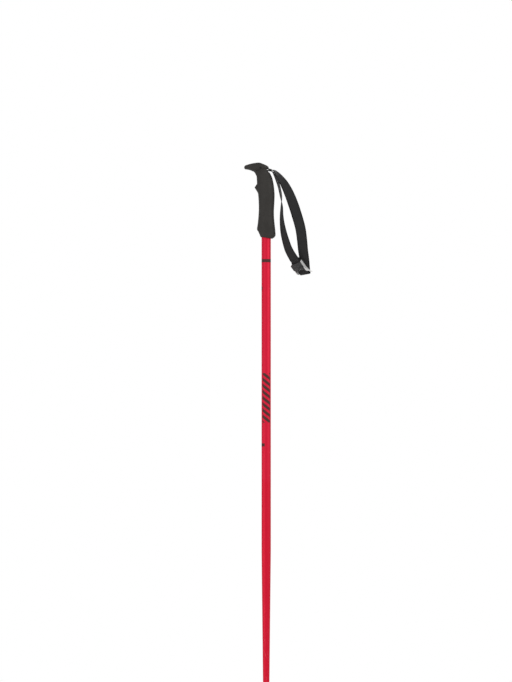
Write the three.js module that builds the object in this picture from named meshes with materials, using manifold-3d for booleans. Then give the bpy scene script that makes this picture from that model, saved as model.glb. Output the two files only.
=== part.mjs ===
// Alpine ski pole: a tapered aluminium shaft with a hooked grip, a webbing wrist strap with a cam buckle,
// a snow basket and a steel point. Millimetres, +Z up along the shaft, origin at the end of the point.
// The hook of the grip faces -X and the wrist strap hangs on the +X side.
import * as THREE from 'three';
import { mergeVertices } from 'three/addons/utils/BufferGeometryUtils.js';
import Module from 'manifold-3d';

const wasm = await Module();
wasm.setup();

// ---- Driving dimensions ----
const POLE_LENGTH = 1200;
const TOUCH_GAP = 0.3;
const SLIVER = 0.02;                   // detail smaller than this is cleared after a cut or a join

const SHAFT_RADIUS = 9;
const SHAFT_END_RADIUS = 5.5;
const SHAFT_WALL = 1.2;
const TAPER_TOP = 450;
const TAPER_BOTTOM = 130;
const SHAFT_BOTTOM = 92;

const GRIP_LENGTH = 145;
const SHAFT_DROP = 34;                 // how far the top of the shaft lies below the top of the grip
const HEAD_WIDTH = 40;
const PIN_RADIUS = 1.5;
const PIN_LENGTH = 29;
const PIN_X = -11;
const PIN_DROP = 11;

const WEBBING_WIDTH = 20;
const WEBBING_THICKNESS = 1.5;
const LAYER_OFFSET = (WEBBING_THICKNESS + TOUCH_GAP) / 2;   // half the pitch of two stacked layers
const STRAP_PIVOT = new THREE.Vector3(7.2, 0, POLE_LENGTH - 13.7);
const STRAP_START = 2.6;               // clear distance from the strap's pivot to the ends of its legs
const STRAP_DIP = THREE.MathUtils.degToRad(20);             // slope of the strap as it leaves the grip

const BUCKLE_WIDTH = 23.6;
const BUCKLE_TOP = -13.3;              // ends of the buckle's base along its length
const BUCKLE_BOTTOM = 12.3;
const EAR_TIP = [18.5, 17];            // along and across: the point of the ear beside the fold
const BUCKLE_SHEET = 1;
const CHEEK_HEIGHT = 8;
const CAM_PIN_RADIUS = 1.2;
const CAM_PIN_ALONG = 2;
const CAM_PIN_FRONT = 6;
const CAM_RADIUS = 2.9;
const LEVER_WIDTH = 20.4;
const PLATE_WIDTH = 24;                // the lever's thumb plate, which lies over the cheeks
const FOLD_ANGLE = THREE.MathUtils.degToRad(28);            // between the long leg and the buckle
const FOLD_ALONG = 16;                 // where the long leg turns round, past the end of the buckle

const FERRULE_BOTTOM = 12.3;
const FERRULE_TOP = 130;
const BASKET_BOTTOM = 66.3;
const BASKET_TOP = 81;
const BASKET_RADIUS = 30;
const SPOKES = 6;
const SPOKE_WIDTH = 4.5;

// ---- Finishes ----
const finish = (color, roughness, metalness = 0) => (
  new THREE.MeshStandardMaterial({ color, roughness, metalness })
);
const redPaint = finish(0xd3203a, 0.35, 0.1);
const gripPlastic = finish(0x3d3c39, 0.75);
const blackPlastic = finish(0x2b2b2b, 0.6);
const webbing = finish(0x303030, 0.9);
const nickel = finish(0xc4c6c9, 0.3, 1);
const steel = finish(0x9a9c9f, 0.35, 1);

// ---- Geometry helpers ----
const pole = new THREE.Group();

function addMesh(parent, name, geometry, material) {
  const mesh = new THREE.Mesh(geometry, material);
  mesh.name = name;
  parent.add(mesh);
  return mesh;
}

function toSolid(geometry) {
  const bare = geometry.clone();
  bare.deleteAttribute('normal');
  bare.deleteAttribute('uv');
  const merged = mergeVertices(bare, 1e-4);
  const vertProperties = new Float32Array(merged.attributes.position.array);
  const triVerts = new Uint32Array(merged.index.array);
  return new wasm.Manifold(new wasm.Mesh({ numProp: 3, vertProperties, triVerts }));
}

// The solid's surface, with corners closer than SLIVER welded and the triangles this flattens left out.
function toGeometry(solid) {
  const mesh = solid.simplify(SLIVER).getMesh();
  const raw = new THREE.BufferGeometry();
  raw.setAttribute('position', new THREE.BufferAttribute(mesh.vertProperties, 3));
  raw.setIndex(new THREE.BufferAttribute(mesh.triVerts, 1));
  const geometry = mergeVertices(raw, SLIVER);
  const corners = geometry.index.array;
  const kept = [];
  for (let i = 0; i < corners.length; i += 3) {
    const [a, b, c] = corners.slice(i, i + 3);
    if (a !== b && b !== c && c !== a) kept.push(a, b, c);
  }
  geometry.setIndex(kept);
  geometry.computeVertexNormals();
  return geometry;
}

function join(...geometries) {
  return toGeometry(geometries.map(toSolid).reduce((whole, next) => whole.add(next)));
}

function cut(geometry, ...tools) {
  return toGeometry(tools.map(toSolid).reduce((whole, tool) => whole.subtract(tool), toSolid(geometry)));
}

// Moves every vertex of a geometry to where place(vertex) says.
function warp(geometry, place) {
  const positions = geometry.attributes.position;
  const vertex = new THREE.Vector3();
  for (let i = 0; i < positions.count; i += 1) {
    vertex.fromBufferAttribute(positions, i);
    const moved = place(vertex);
    positions.setXYZ(i, moved.x, moved.y, moved.z);
  }
  return geometry;
}

// A smooth line through [position, value] pairs, read at any position.
function smoothLine(pairs) {
  const last = pairs.length - 1;
  const slopes = pairs.map((pair, i) => {
    const before = pairs[Math.max(i - 1, 0)];
    const after = pairs[Math.min(i + 1, last)];
    return (after[1] - before[1]) / (after[0] - before[0]);
  });
  return (position) => {
    let i = 0;
    while (i < last - 1 && position > pairs[i + 1][0]) i += 1;
    const [start, startValue] = pairs[i];
    const [end, endValue] = pairs[i + 1];
    const span = end - start;
    const t = THREE.MathUtils.clamp((position - start) / span, 0, 1);
    const ease = t * t * (3 - 2 * t);
    const bendStart = t * (1 - t) * (1 - t) * span * slopes[i];
    const bendEnd = t * t * (1 - t) * span * slopes[i + 1];
    return startValue + (endValue - startValue) * ease + bendStart - bendEnd;
  };
}

// A point on a rounded-box outline: 2 gives an ellipse and larger numbers give squarer corners.
function roundedBox(angle, squareness) {
  const power = 2 / squareness;
  const cos = Math.cos(angle);
  const sin = Math.sin(angle);
  return [Math.sign(cos) * Math.abs(cos) ** power, Math.sign(sin) * Math.abs(sin) ** power];
}

// A lathe about Z from [radius, height] pairs, which run upwards on the outside.
function lathe(profile, segments) {
  const points = profile.map(([radius, height]) => new THREE.Vector2(radius, height));
  return new THREE.LatheGeometry(points, segments).rotateX(Math.PI / 2);
}

function shapeOf(points) {
  return new THREE.Shape(points.map(([x, y]) => new THREE.Vector2(x, y)));
}

// An outline in X and Z, extruded to the given width along Y and centred on it.
function extrudeAcross(shape, width) {
  const geometry = new THREE.ExtrudeGeometry(shape, { depth: width, bevelEnabled: false, curveSegments: 8 });
  return geometry.rotateX(Math.PI / 2).translate(0, width / 2, 0);
}

function rodAcross(radius, length, segments = 24) {
  return new THREE.CylinderGeometry(radius, radius, length, segments);
}

// ---- Grip ----
// Outlines of the grip are written against the drop below its top.
const gripFront = smoothLine([
  [7, -24], [13, -26], [15.6, -26], [16.9, -24.5], [18.7, -22.6], [22, -20.6], [26, -18.8], [34, -18.1],
  [50, -17.2], [63, -15.4], [86, -14.3], [106, -15.2], [120, -16.6], [130, -17.8], [135, -14.9],
  [GRIP_LENGTH, -10.8],
]);
const gripBack = smoothLine([
  [7, 4.4], [17, 5.2], [20, 7.2], [25, 10], [31, 12.2], [42, 14.4], [54, 15.9], [65, 16.3], [78, 15.8],
  [92, 15], [106, 15.2], [123, 16.9], [134, 18], [140, 17.6], [GRIP_LENGTH, 12.4],
]);
const gripWidth = smoothLine([
  [7, 34], [12, 32], [17, 28], [23, 26.5], [34, 28.4], [46, 29.7], [60, 30.4], [86, 29], [100, 28],
  [121, 30], [133, 31.7], [139, 29.9], [GRIP_LENGTH, 25],
]);
const footSlant = smoothLine([[110, 0], [130, 0.06], [GRIP_LENGTH, 0.13]]);

function gripHandle() {
  const rows = 38;
  const top = 7;
  const unit = new THREE.CylinderGeometry(1, 1, 1, 28, rows);
  return warp(unit, (vertex) => {
    const drop = GRIP_LENGTH + (top - GRIP_LENGTH) * (vertex.y + 0.5);
    const reach = Math.hypot(vertex.x, vertex.z);
    const [across, along] = roundedBox(Math.atan2(vertex.x, vertex.z), 2.4);
    const halfDepth = (gripBack(drop) - gripFront(drop)) / 2;
    const x = gripBack(drop) - halfDepth + reach * halfDepth * across;
    const z = POLE_LENGTH - drop - Math.max(footSlant(drop), 0) * x;
    return new THREE.Vector3(x, reach * along * gripWidth(drop) / 2, z);
  });
}

// The head is a flat plate that runs forward into the hook and back over the strap slot.
const headTop = smoothLine([
  [-42.7, 8.8], [-41.5, 6.3], [-38, 4.7], [-28, 1.8], [-20.5, 0.5], [-15.5, 0], [-11, 0.5],
  [2, 6.2], [5, 9.2],
]);
const headUnderside = smoothLine([
  [-42.7, 9.6], [-41.5, 12], [-36, 12.8], [-30, 14.4], [-25, 16.6], [-18, 17.5], [-8, 15], [2, 12], [5, 10.6],
]);
const headHalfWidth = smoothLine([
  [-42.7, 9], [-41.5, 14.5], [-37, 18.6], [-28, HEAD_WIDTH / 2], [-16, 19.6], [-4, 17], [2, 14], [5, 10.5],
]);

function gripHead() {
  const nose = -42.7;
  const lip = 5;
  const unit = new THREE.CylinderGeometry(1, 1, 1, 24, 20).rotateZ(-Math.PI / 2);
  return warp(unit, (vertex) => {
    const x = nose + (lip - nose) * (vertex.x + 0.5);
    const reach = Math.hypot(vertex.y, vertex.z);
    const [across, up] = roundedBox(Math.atan2(vertex.z, vertex.y), 3.2);
    const middle = (headTop(x) + headUnderside(x)) / 2;
    const halfHeight = (headUnderside(x) - headTop(x)) / 2;
    const y = reach * across * headHalfWidth(x);
    return new THREE.Vector3(x, y, POLE_LENGTH - middle + reach * up * halfHeight);
  });
}

// The spur is the rest that the index finger hooks under, on the front of the handle.
function gripSpur() {
  const width = 11;
  const outline = [[-12, 40], [-18, 41], [-19.4, 43], [-22.8, 47.8], [-19.6, 52.4], [-16.5, 58], [-12, 58]];
  return extrudeAcross(shapeOf(outline.map(([x, drop]) => [x, POLE_LENGTH - drop])), width);
}

// The pocket takes the webbing round its pin and opens backwards in a mouth below the lip.
function strapPocket() {
  const bightRadius = 3.9;
  const sideRoom = 0.8;
  const mouthTop = POLE_LENGTH - 10.7;
  const mouthBottom = POLE_LENGTH - 18.2;
  const lip = 5;
  const beyond = 12;
  const pocket = new THREE.Shape();
  pocket.absarc(PIN_X, POLE_LENGTH - PIN_DROP, bightRadius, Math.PI / 2, -Math.PI / 2, false);
  pocket.lineTo(0, mouthBottom + 3);
  pocket.lineTo(lip, mouthBottom);
  pocket.lineTo(beyond, mouthBottom);
  pocket.lineTo(beyond, mouthTop);
  pocket.lineTo(lip, mouthTop);
  return extrudeAcross(pocket, WEBBING_WIDTH + 2 * sideRoom);
}

function shaftBore() {
  const plugRoom = 4;
  const height = GRIP_LENGTH;
  const radius = SHAFT_RADIUS + TOUCH_GAP;
  const middle = POLE_LENGTH - SHAFT_DROP + plugRoom - height / 2;
  return new THREE.CylinderGeometry(radius, radius, height, 32).rotateX(Math.PI / 2).translate(0, 0, middle);
}

function pinHole() {
  return rodAcross(PIN_RADIUS + TOUCH_GAP, 2 * HEAD_WIDTH).translate(PIN_X, 0, POLE_LENGTH - PIN_DROP);
}

const gripBody = join(gripHandle(), gripHead(), gripSpur());
addMesh(pole, 'grip', cut(gripBody, strapPocket(), shaftBore(), pinHole()), gripPlastic);

const strapPin = addMesh(pole, 'strap_pin', rodAcross(PIN_RADIUS, PIN_LENGTH), steel);
strapPin.position.set(PIN_X, 0, POLE_LENGTH - PIN_DROP);

// ---- Shaft, its plug, ferrule and point ----
const shaftTop = POLE_LENGTH - SHAFT_DROP;
const shaftProfile = [
  [SHAFT_END_RADIUS, SHAFT_BOTTOM + TOUCH_GAP],
  [SHAFT_END_RADIUS, TAPER_BOTTOM],
  [SHAFT_RADIUS, TAPER_TOP],
  [SHAFT_RADIUS, shaftTop],
  [SHAFT_RADIUS - SHAFT_WALL, shaftTop],
  [SHAFT_RADIUS - SHAFT_WALL, TAPER_TOP],
  [SHAFT_END_RADIUS - SHAFT_WALL, TAPER_BOTTOM],
  [SHAFT_END_RADIUS - SHAFT_WALL, SHAFT_BOTTOM + TOUCH_GAP],
  [SHAFT_END_RADIUS, SHAFT_BOTTOM + TOUCH_GAP],
];
addMesh(pole, 'shaft', lathe(shaftProfile, 32), redPaint);

const plugRadius = SHAFT_RADIUS - SHAFT_WALL - TOUCH_GAP;
const plugHeadRadius = SHAFT_RADIUS - 0.4;
const plugLength = 16;
const plugHead = 3.6;
const plugProfile = [
  [0, shaftTop - plugLength],
  [plugRadius - 1, shaftTop - plugLength],
  [plugRadius, shaftTop - plugLength + 2],
  [plugRadius, shaftTop + TOUCH_GAP],
  [plugHeadRadius, shaftTop + TOUCH_GAP],
  [plugHeadRadius, shaftTop + plugHead - 1],
  [plugHeadRadius - 1, shaftTop + plugHead],
  [0, shaftTop + plugHead],
];
addMesh(pole, 'shaft_end_plug', lathe(plugProfile, 24), blackPlastic);

const pointShankTop = 34;
const pointShankRadius = 2.5;
const socketRadius = SHAFT_END_RADIUS + TOUCH_GAP;
const hubSeatRadius = 5.8;
const snapRidgeRadius = 6.4;
const collarRadius = 8.1;
const collarBottom = BASKET_TOP + 2.2;
const ferruleProfile = [
  [0, pointShankTop + TOUCH_GAP],
  [pointShankRadius + TOUCH_GAP, pointShankTop + TOUCH_GAP],
  [pointShankRadius + TOUCH_GAP, FERRULE_BOTTOM],
  [4.1, FERRULE_BOTTOM],
  [4.4, FERRULE_BOTTOM + 2],
  [5.6, BASKET_BOTTOM - 5],
  [snapRidgeRadius, BASKET_BOTTOM - 2],
  [snapRidgeRadius, BASKET_BOTTOM - 1],
  [hubSeatRadius, BASKET_BOTTOM],
  [hubSeatRadius, collarBottom],
  [collarRadius, collarBottom],
  [collarRadius, collarBottom + 2.8],
  [7.3, collarBottom + 5.8],
  [7, FERRULE_TOP - 2],
  [6.6, FERRULE_TOP],
  [socketRadius, FERRULE_TOP],
  [socketRadius, SHAFT_BOTTOM],
  [0, SHAFT_BOTTOM],
];
addMesh(pole, 'tip_ferrule', lathe(ferruleProfile, 28), blackPlastic);

const pointRadius = 3.7;
const pointFaceRadius = 2.9;
const pointProfile = [
  [0, 0],
  [pointFaceRadius, 0],
  [pointRadius, 1.2],
  [pointRadius, FERRULE_BOTTOM - TOUCH_GAP],
  [pointShankRadius, FERRULE_BOTTOM - TOUCH_GAP],
  [pointShankRadius, pointShankTop - 1],
  [pointShankRadius - 0.8, pointShankTop],
  [0, pointShankTop],
];
addMesh(pole, 'tip_insert', lathe(pointProfile, 24), steel);

// ---- Basket ----
const hubBore = hubSeatRadius + TOUCH_GAP;
const basketProfile = [
  [hubBore, BASKET_BOTTOM],
  [8.2, BASKET_BOTTOM],
  [9, 70.5],
  [12, 71.3],
  [25, 69.2],
  [26.5, 67.6],
  [29, 67.6],
  [BASKET_RADIUS, 68.8],
  [BASKET_RADIUS, 71],
  [28.4, 72.2],
  [25, 71.6],
  [12, 74],
  [9.4, 76],
  [8.4, BASKET_TOP],
  [hubBore, BASKET_TOP],
  [hubBore, BASKET_BOTTOM],
];

// One opening between two spokes, which keep the same width from hub to rim.
function basketOpening(index) {
  const inner = 12.5;
  const outer = 24;
  const step = Math.PI * 2 / SPOKES;
  const start = index * step;
  const innerTrim = Math.asin(SPOKE_WIDTH / 2 / inner);
  const outerTrim = Math.asin(SPOKE_WIDTH / 2 / outer);
  const shape = new THREE.Shape();
  shape.absarc(0, 0, outer, start + outerTrim, start + step - outerTrim, false);
  shape.absarc(0, 0, inner, start + step - innerTrim, start + innerTrim, true);
  const opening = new THREE.ExtrudeGeometry(shape, { depth: 20, bevelEnabled: false, curveSegments: 10 });
  return opening.translate(0, 0, BASKET_BOTTOM - 2);
}

const openings = Array.from({ length: SPOKES }, (_, index) => basketOpening(index));
addMesh(pole, 'basket', cut(lathe(basketProfile, 48), ...openings), blackPlastic);

const washerRadius = 8;
const washerBottom = BASKET_TOP + TOUCH_GAP;
const washerTop = BASKET_TOP + 1.8;
const washerProfile = [
  [hubBore, washerBottom],
  [washerRadius, washerBottom],
  [washerRadius, washerTop],
  [hubBore, washerTop],
  [hubBore, washerBottom],
];
addMesh(pole, 'basket_washer', lathe(washerProfile, 28), steel);

// ---- Wrist strap ----
// The webbing's bight lies round the pin inside the head, and stays with the grip.
function anchorLoop() {
  const inner = PIN_RADIUS + TOUCH_GAP;
  const outer = inner + WEBBING_THICKNESS;
  const pinHeight = POLE_LENGTH - PIN_DROP;
  const mouth = STRAP_PIVOT.x - 0.6;
  const split = STRAP_PIVOT.z + 0.3;
  const shape = new THREE.Shape();
  shape.absarc(PIN_X, pinHeight, outer, Math.PI / 2, Math.PI * 1.5, false);
  shape.lineTo(mouth, split - TOUCH_GAP / 2 - WEBBING_THICKNESS);
  shape.lineTo(mouth, split - TOUCH_GAP / 2);
  shape.lineTo(PIN_X, pinHeight - inner);
  shape.absarc(PIN_X, pinHeight, inner, Math.PI * 1.5, Math.PI / 2, true);
  shape.lineTo(mouth, split + TOUCH_GAP / 2);
  shape.lineTo(mouth, split + TOUCH_GAP / 2 + WEBBING_THICKNESS);
  return extrudeAcross(shape, WEBBING_WIDTH);
}
addMesh(pole, 'strap_anchor_loop', anchorLoop(), webbing);

// The buckle lies in its own frame: X along its length away from the grip, Y across it, Z out of its front.
const buckle = new THREE.Group();
const buckleAlong = new THREE.Vector3(0.56, 0.3, -0.77).normalize();
const buckleLean = new THREE.Vector3(0.762, -0.551, 0.34);
const buckleFront = new THREE.Vector3().crossVectors(buckleAlong, buckleLean).normalize();
const buckleAcross = new THREE.Vector3().crossVectors(buckleFront, buckleAlong);
buckle.position.set(66.4, 3.4, 998.7);
buckle.quaternion.setFromRotationMatrix(
  new THREE.Matrix4().makeBasis(buckleAlong, buckleAcross, buckleFront),
);
pole.add(buckle);
pole.updateMatrixWorld(true);

const inBuckle = (along, across, front) => buckle.localToWorld(new THREE.Vector3(along, across, front));

const backLayer = -TOUCH_GAP - WEBBING_THICKNESS / 2;
const frontLayer = BUCKLE_SHEET + TOUCH_GAP + WEBBING_THICKNESS / 2;
const foldRadius = (frontLayer - backLayer) / 2;

// The webbing's cross direction at a point: level (along Y) at twist 0, and turned about the path by twist.
function crossAt(tangent, twist) {
  const level = new THREE.Vector3(0, 1, 0).addScaledVector(tangent, -tangent.y).normalize();
  const side = new THREE.Vector3().crossVectors(tangent, level);
  return level.multiplyScalar(Math.cos(twist)).addScaledVector(side, Math.sin(twist));
}

function twistOf(tangent, cross) {
  const level = crossAt(tangent, 0);
  const side = crossAt(tangent, Math.PI / 2);
  return THREE.MathUtils.radToDeg(Math.atan2(cross.dot(side), cross.dot(level)));
}

// A webbing run through stations of [x, y, z, twist in degrees]. It returns place(t, across, up), which gives
// the point at t along the run (0 to 1), across its width and up through its thickness.
function webbingRun(stations) {
  const points = stations.map(([x, y, z]) => new THREE.Vector3(x, y, z));
  const curve = new THREE.CatmullRomCurve3(points, false, 'centripetal');
  const twist = smoothLine(stations.map((station, i) => [i / (stations.length - 1), station[3]]));
  return (t, across, up) => {
    const tangent = curve.getTangent(t);
    const cross = crossAt(tangent, THREE.MathUtils.degToRad(twist(t)));
    const normal = new THREE.Vector3().crossVectors(tangent, cross);
    return curve.getPoint(t).addScaledVector(cross, across).addScaledVector(normal, up);
  };
}

// A flat band of rows by columns, each vertex placed by place(row, across, up).
function band(rows, columns, place) {
  const unit = new THREE.BoxGeometry(WEBBING_WIDTH, WEBBING_THICKNESS, 1, columns, 1, rows);
  return warp(unit, (vertex) => place(Math.round((vertex.z + 0.5) * rows), vertex.x, vertex.y));
}

// The start of a leg at the mouth of the slot, above (+1) or below (-1) the other leg.
function legStart(distance, layer) {
  const x = STRAP_PIVOT.x + distance * Math.cos(STRAP_DIP) + layer * LAYER_OFFSET * Math.sin(STRAP_DIP);
  const z = STRAP_PIVOT.z - distance * Math.sin(STRAP_DIP) + layer * LAYER_OFFSET * Math.cos(STRAP_DIP);
  return [x, 0, z, 0];
}

// Long leg: down from the slot, behind the buckle, folded over at an angle and back through the buckle.
const foldCentre = [FOLD_ALONG, Math.PI * foldRadius * Math.sin(FOLD_ANGLE / 2)];

function behindBuckle(distance, depth) {
  const along = foldCentre[0] - distance * Math.cos(FOLD_ANGLE);
  const across = foldCentre[1] + distance * Math.sin(FOLD_ANGLE);
  return inBuckle(along, across, depth);
}

// A point of the folded stretch: distance past the fold's centre line, across the webbing and up through it.
function foldedPoint(distance, across, up) {
  const half = FOLD_ANGLE / 2;
  const past = distance * Math.cos(half) + across * Math.sin(half);
  const aside = -distance * Math.sin(half) + across * Math.cos(half);
  const turn = THREE.MathUtils.clamp(past / foldRadius, 0, Math.PI);
  const flat = past < 0 ? past : Math.min(0, Math.PI * foldRadius - past);
  const reach = flat + (foldRadius - up) * Math.sin(turn);
  const along = foldCentre[0] + aside * Math.sin(half) + reach * Math.cos(half);
  const sideways = foldCentre[1] + aside * Math.cos(half) - reach * Math.sin(half);
  const lift = THREE.MathUtils.smoothstep(-along, 1, 8) * (WEBBING_THICKNESS + TOUCH_GAP);
  const front = backLayer + foldRadius - (foldRadius - up) * Math.cos(turn) + lift * (turn > 0 ? 1 : 0);
  return inBuckle(along, sideways, front);
}

const joinDistance = 5;                // where the hanging run meets the folded stretch, before the fold
const longLegFlight = behindBuckle(0, 0).sub(behindBuckle(1, 0));
const longLegCross = behindBuckle(0, 0).sub(inBuckle(
  foldCentre[0] - Math.sin(FOLD_ANGLE),
  foldCentre[1] - Math.cos(FOLD_ANGLE),
  0,
));
const longLegEndTwist = twistOf(longLegFlight, longLegCross);

const longLegRun = webbingRun([
  legStart(STRAP_START, 1),
  [15.6, 0, 1184.3, 12],
  [20.9, 0, 1179.2, 24],
  [26.8, 0, 1171.2, 38],
  [34.7, -0.5, 1159.6, 52],
  [43.6, -1.5, 1141.8, 68],
  [52.3, -3, 1119.4, 84],
  [59.6, -4.5, 1096.6, 92],
  [66, -5.8, 1073, 98],
  [69.2, -6.6, 1050, 102],
  [70.9, -6.6, 1032, 107],
  [...behindBuckle(24, backLayer - 2.8).toArray(), longLegEndTwist],
  [...behindBuckle(14, backLayer - 1).toArray(), longLegEndTwist],
  [...behindBuckle(joinDistance, backLayer).toArray(), longLegEndTwist],
]);

function strapLongLeg() {
  const hangingRows = 44;
  const foldedRows = 38;
  const tailEnd = 37;
  return band(hangingRows + foldedRows, 4, (row, across, up) => {
    if (row <= hangingRows) return longLegRun(row / hangingRows, across, up);
    const distance = -joinDistance + (tailEnd + joinDistance) * (row - hangingRows) / foldedRows;
    return foldedPoint(distance, across, up);
  });
}
addMesh(pole, 'strap_long_leg', strapLongLeg(), webbing);

// Short leg: down to the buckle, over its bar and sewn back on itself.
const barBend = -9.9;                  // where the webbing turns round the bar, along the buckle
const sewnStart = -24;
const sewnFlat = 6;                    // stretch before the bar that already lies flat in the buckle's frame
const barRun = barBend - sewnStart - sewnFlat;
const sewnTail = 10;                   // how far the end comes back behind the leg
const shortLegEndTwist = twistOf(buckleAlong, buckleAcross.clone().negate());

const shortLegRun = webbingRun([
  legStart(STRAP_START, -1),
  [13.2, 0, 1181.6, 6],
  [17.1, 0, 1175.1, 12],
  [21.6, 0, 1164, 14],
  [25.3, 0, 1152, 13],
  [28.6, -0.3, 1135, 10],
  [29.9, -0.8, 1115, -9],
  [29.7, -1.6, 1098, -17],
  [30.6, -2.6, 1084, -24],
  [33.4, -4, 1066, -34],
  [38, -5.4, 1048, -42],
  [43.4, -6.4, 1032, -48],
  [...inBuckle(sewnStart, 0, frontLayer).toArray(), shortLegEndTwist],
  [...inBuckle(sewnStart + sewnFlat, 0, frontLayer).toArray(), shortLegEndTwist],
]);

// A point of the sewn end: distance from the last station, over the bar and back under itself.
function sewnPoint(distance, across, up) {
  const arc = Math.PI * foldRadius;
  if (distance < barRun) return inBuckle(barBend - barRun + distance, -across, frontLayer - up);
  if (distance < barRun + arc) {
    const turn = (distance - barRun) / foldRadius;
    const reach = (foldRadius - up) * Math.sin(turn);
    return inBuckle(barBend + reach, -across, frontLayer - foldRadius + (foldRadius - up) * Math.cos(turn));
  }
  const back = distance - barRun - arc;
  const room = frontLayer - backLayer - WEBBING_THICKNESS - TOUCH_GAP;
  const close = room * THREE.MathUtils.smoothstep(back, 4, 10);
  return inBuckle(barBend - back, -across, backLayer + close + up);
}

function strapShortLeg() {
  const hangingRows = 44;
  const sewnRows = 20;
  const sewnLength = barRun + Math.PI * foldRadius + sewnTail;
  return band(hangingRows + sewnRows, 1, (row, across, up) => {
    if (row <= hangingRows) return shortLegRun(row / hangingRows, across, up);
    return sewnPoint(sewnLength * (row - hangingRows) / sewnRows, across, up);
  });
}
addMesh(pole, 'strap_short_leg', strapShortLeg(), webbing);

// ---- Buckle ----
function buckleBox(alongFrom, alongTo, width, frontFrom, frontTo, across = 0) {
  const box = new THREE.BoxGeometry(alongTo - alongFrom, width, frontTo - frontFrom);
  return box.translate((alongFrom + alongTo) / 2, across, (frontFrom + frontTo) / 2);
}

// One side of the channel, as tall as the lever, with its lower corner cut off.
function cheek(side) {
  const outline = shapeOf([
    [BUCKLE_TOP, 0], [BUCKLE_BOTTOM, 0], [BUCKLE_BOTTOM, 3.6], [8, CHEEK_HEIGHT],
    [BUCKLE_TOP + 2, CHEEK_HEIGHT], [BUCKLE_TOP, CHEEK_HEIGHT - 2],
  ]);
  const across = side * (BUCKLE_WIDTH - BUCKLE_SHEET) / 2;
  return extrudeAcross(outline, BUCKLE_SHEET).translate(0, across, 0);
}

// The base spreads on one side into a pointed ear beside the fold of the webbing.
function buckleBase() {
  const half = BUCKLE_WIDTH / 2;
  const outline = shapeOf([
    [BUCKLE_TOP, -half], [BUCKLE_BOTTOM, -half], [BUCKLE_BOTTOM, half - 1], [BUCKLE_BOTTOM + 1, half - 0.8],
    [16, half + 1.2], EAR_TIP, [15, half + 2.8], [11, half + 1.2], [5, half], [BUCKLE_TOP, half],
  ]);
  return new THREE.ExtrudeGeometry(outline, { depth: BUCKLE_SHEET, bevelEnabled: false });
}

const camAxisBore = rodAcross(CAM_PIN_RADIUS + TOUCH_GAP, 40, 20).translate(CAM_PIN_ALONG, 0, CAM_PIN_FRONT);
const windowStart = -10.3;
const windowEnd = -6.3;
const windowWidth = WEBBING_WIDTH + 0.8;
const barWindow = buckleBox(windowStart, windowEnd, windowWidth, -2, 3);
const buckleChannel = join(buckleBase(), cheek(-1), cheek(1));
addMesh(buckle, 'buckle_frame', cut(buckleChannel, barWindow, camAxisBore), nickel);

const camPin = addMesh(buckle, 'cam_pin', rodAcross(CAM_PIN_RADIUS, BUCKLE_WIDTH + 1, 20), steel);
camPin.position.set(CAM_PIN_ALONG, 0, CAM_PIN_FRONT);

// The lever is a round cam on the pin, with an arm between the cheeks that runs back over the webbing.
function leverBody() {
  const armEnd = -12.2;
  const armMiddle = 7.4;
  const armRadius = 1.2;
  const insidePlate = CHEEK_HEIGHT + 0.9;
  const side = new THREE.Shape();
  side.absarc(CAM_PIN_ALONG, CAM_PIN_FRONT, CAM_RADIUS, -2.2, Math.PI / 2, false);
  side.lineTo(armEnd, insidePlate);
  side.absarc(armEnd, armMiddle, armRadius, Math.PI / 2, Math.PI * 1.5, false);
  side.lineTo(-6, 5.3);
  return extrudeAcross(side, LEVER_WIDTH);
}

// The plate covers the edges of the cheeks, and the ribs on it give the thumb a hold.
function leverPlate() {
  const bottom = CHEEK_HEIGHT + TOUCH_GAP;
  const top = bottom + 0.9;
  const margin = 1.6;
  const ribs = [];
  for (let along = -12; along <= -2; along += 2) {
    ribs.push(buckleBox(along - 0.5, along + 0.5, PLATE_WIDTH - 2 * margin, bottom, top + 0.5));
  }
  return [buckleBox(BUCKLE_TOP, -0.6, PLATE_WIDTH, bottom, top), ...ribs];
}

const springPocket = join(
  rodAcross(CAM_RADIUS + 0.4, 6).translate(CAM_PIN_ALONG, 0, CAM_PIN_FRONT),
  buckleBox(-4, CAM_PIN_ALONG, 6, 3, CAM_PIN_FRONT),
);
const camLever = cut(join(leverBody(), ...leverPlate()), camAxisBore, springPocket);
addMesh(buckle, 'cam_lever', camLever, blackPlastic);

// The torsion spring: whole turns round the pin, with a straight leg each way.
class SpringPath extends THREE.Curve {
  getPoint(t, target = new THREE.Vector3()) {
    const turns = 4;
    const pitch = 0.95;
    const radius = 2.05;
    const leg = 3.6;
    const coil = Math.PI * 2 * radius * turns;
    const distance = t * (coil + 2 * leg) - leg;
    const angle = THREE.MathUtils.clamp(distance / radius, 0, Math.PI * 2 * turns);
    const straight = distance - angle * radius;
    const across = pitch * (angle / (Math.PI * 2) - turns / 2);
    return target.set(
      CAM_PIN_ALONG - straight - radius * Math.sin(angle),
      across,
      CAM_PIN_FRONT - radius * Math.cos(angle),
    );
  }
}

function camSpring() {
  const wire = new THREE.Shape();
  wire.absarc(0, 0, 0.3, 0, Math.PI * 2, false);
  return new THREE.ExtrudeGeometry(wire, { steps: 72, curveSegments: 3, extrudePath: new SpringPath() });
}
addMesh(buckle, 'cam_spring', camSpring(), steel);

export default pole;
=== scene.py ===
"""Looks for the alpine ski pole: grip, painted shaft, wrist strap with a cam buckle, basket and point.
Sizes are in millimetres until a mesh is made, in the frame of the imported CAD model: +Z up the shaft, the
hook of the grip towards -X and the wrist strap on the +X side."""

import math

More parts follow.
